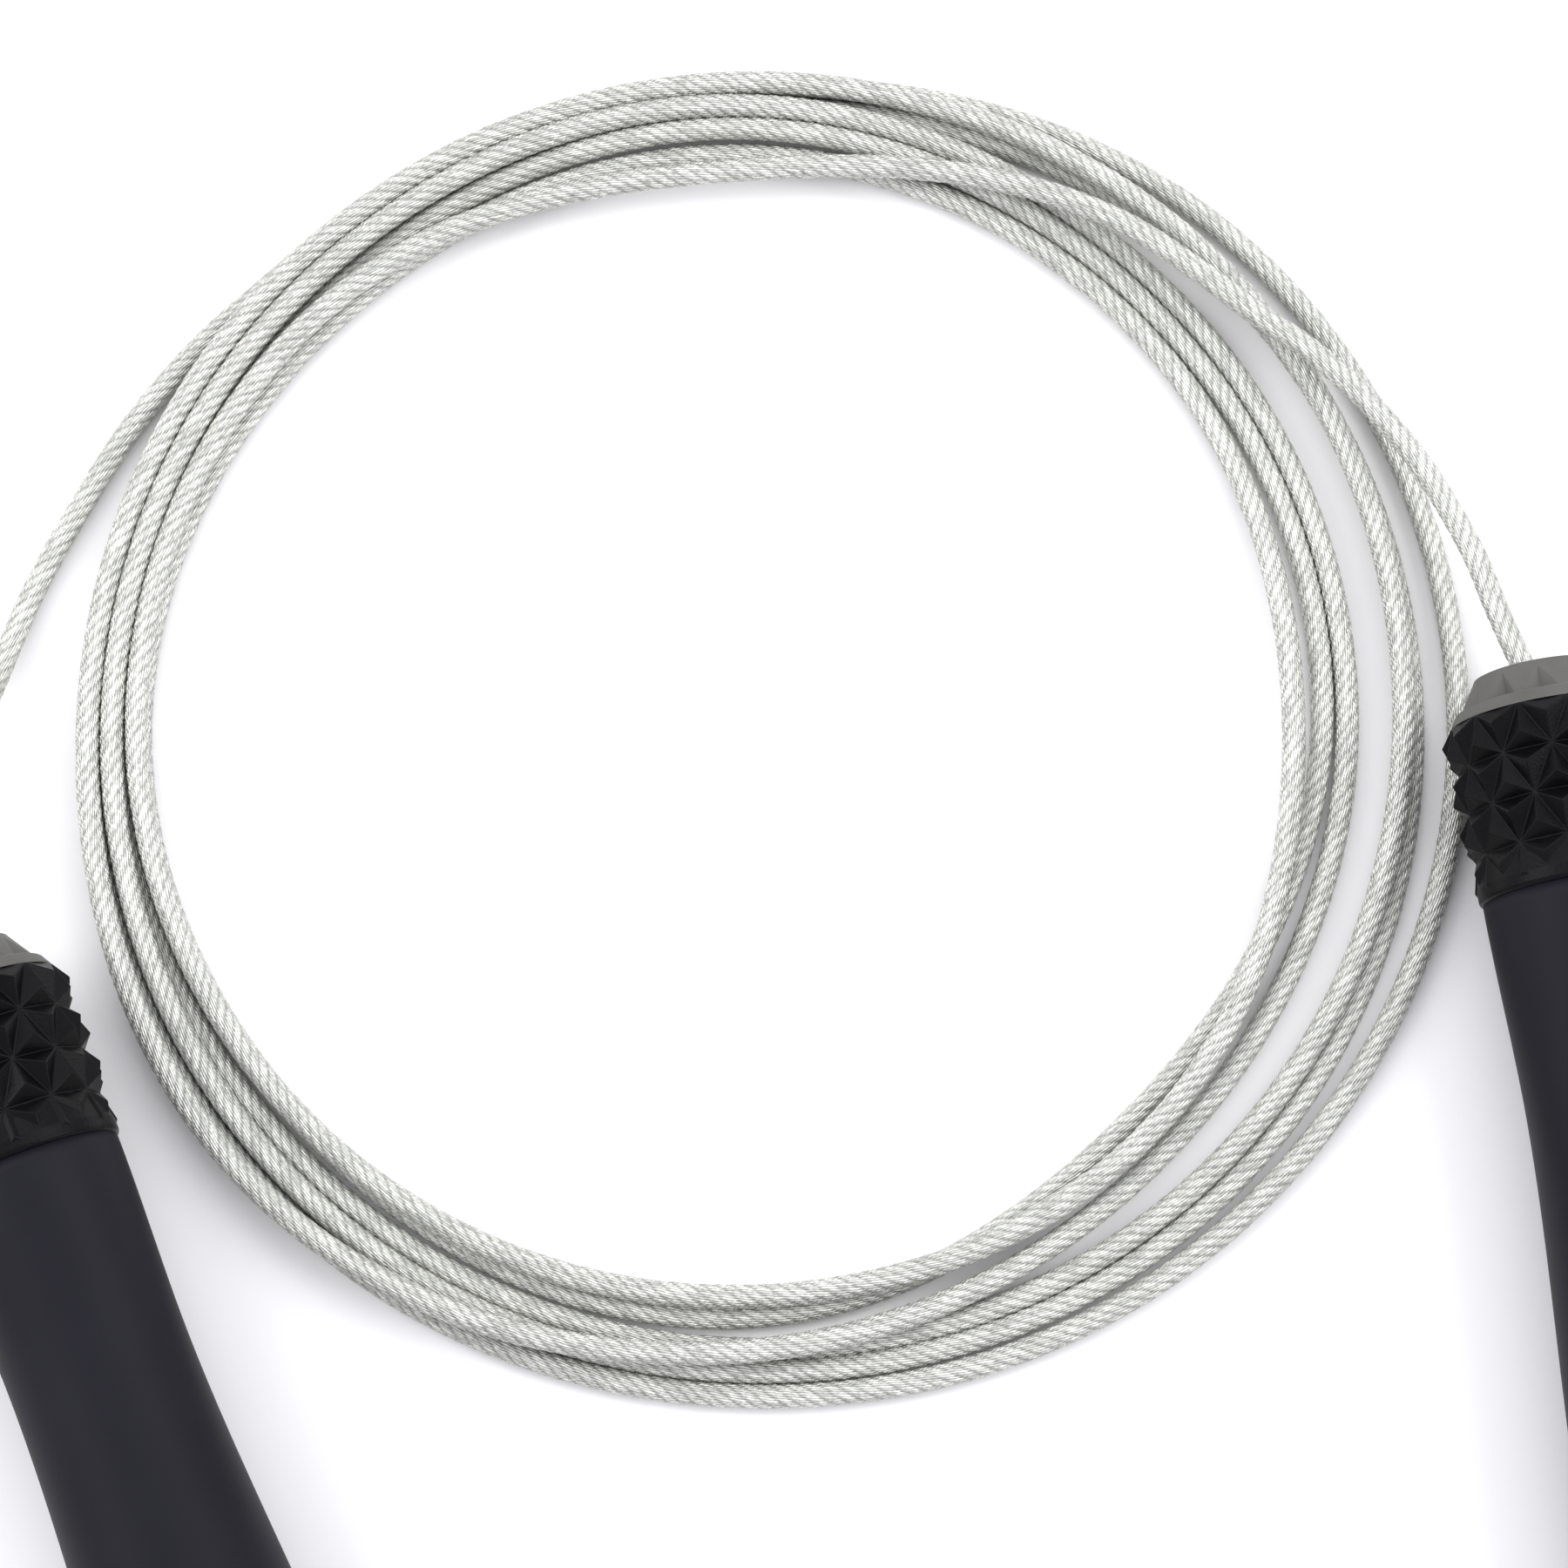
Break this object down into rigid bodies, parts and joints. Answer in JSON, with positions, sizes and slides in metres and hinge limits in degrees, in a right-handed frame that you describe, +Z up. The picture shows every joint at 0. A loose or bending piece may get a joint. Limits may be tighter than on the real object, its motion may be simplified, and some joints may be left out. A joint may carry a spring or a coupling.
{
  "type": "jump rope",
  "caption": "Speed jump rope: clear-coated steel cable in a loose coil, joined by ball bearings to two contoured handles with faceted heads and collars.",
  "frame": {"origin": "centre of the footprint of the two handles, on the surface that the rope lies on", "axes": "+X from the left handle to the right handle, the longer side of the handles' footprint; +Y away from the viewer, the way the handles' collars point; +Z up"},
  "size_m": [0.2311, 0.2503, 0.0262],
  "materials": {
    "cable": "clear glossy coating over twisted bright steel wire",
    "collar_plastic": "satin moulded grey plastic",
    "grip_rubber": "moulded black rubber, fine grain",
    "shell_plastic": "soft-touch satin black",
    "bearing_steel": "ground and polished",
    "cage_brass": "pressed",
    "spindle_aluminium": "turned",
    "stop_brass": "turned",
    "screw_steel": "black oxide",
    "washer_steel": "stamped"
  },
  "bodies": {
    "rope": {"rope_coil": "cable", "left_lead": "cable", "right_lead": "cable", "left_cable_end": "cable", "left_cable_stop": "stop_brass", "left_stop_screw": "screw_steel", "left_thrust_washer": "washer_steel", "left_spindle": "spindle_aluminium", "left_retaining_clip": "screw_steel", "left_inner_race": "bearing_steel", "right_cable_end": "cable", "right_cable_stop": "stop_brass", "right_stop_screw": "screw_steel", "right_thrust_washer": "washer_steel", "right_spindle": "spindle_aluminium", "right_retaining_clip": "screw_steel", "right_inner_race": "bearing_steel"},
    "left_handle": {"left_outer_race": "bearing_steel", "left_front_shield": "washer_steel", "left_rear_shield": "washer_steel", "left_collar": "collar_plastic", "left_head_grip": "grip_rubber", "left_handle_shell": "shell_plastic", "left_end_cap": "collar_plastic"},
    "left_balls": {"left_ball_set": "bearing_steel", "left_ball_cage": "cage_brass"},
    "right_handle": {"right_outer_race": "bearing_steel", "right_front_shield": "washer_steel", "right_rear_shield": "washer_steel", "right_collar": "collar_plastic", "right_head_grip": "grip_rubber", "right_handle_shell": "shell_plastic", "right_end_cap": "collar_plastic"},
    "right_balls": {"right_ball_set": "bearing_steel", "right_ball_cage": "cage_brass"}
  },
  "joints": [
    {"name": "left_handle_spin", "type": "hinge", "parent": "rope", "child": "left_handle", "pos_m": [-0.1053, 0.049, 0.0131], "axis": [0.3811, -0.9245, 0], "continuous": true},
    {"name": "left_ball_orbit", "type": "hinge", "parent": "rope", "child": "left_balls", "pos_m": [-0.1008, 0.03809, 0.0131], "axis": [0.3811, -0.9245, 0], "continuous": true},
    {"name": "right_handle_spin", "type": "hinge", "parent": "rope", "child": "right_handle", "pos_m": [0.0846, 0.084, 0.0131], "axis": [0.1461, -0.9893, 0], "continuous": true},
    {"name": "right_ball_orbit", "type": "hinge", "parent": "rope", "child": "right_balls", "pos_m": [0.08632, 0.07233, 0.0131], "axis": [0.1461, -0.9893, 0], "continuous": true}
  ],
  "couplings": [
    {"joint": "left_ball_orbit", "follows": "left_handle_spin", "ratio": 0.63333},
    {"joint": "right_ball_orbit", "follows": "right_handle_spin", "ratio": 0.63333}
  ]
}
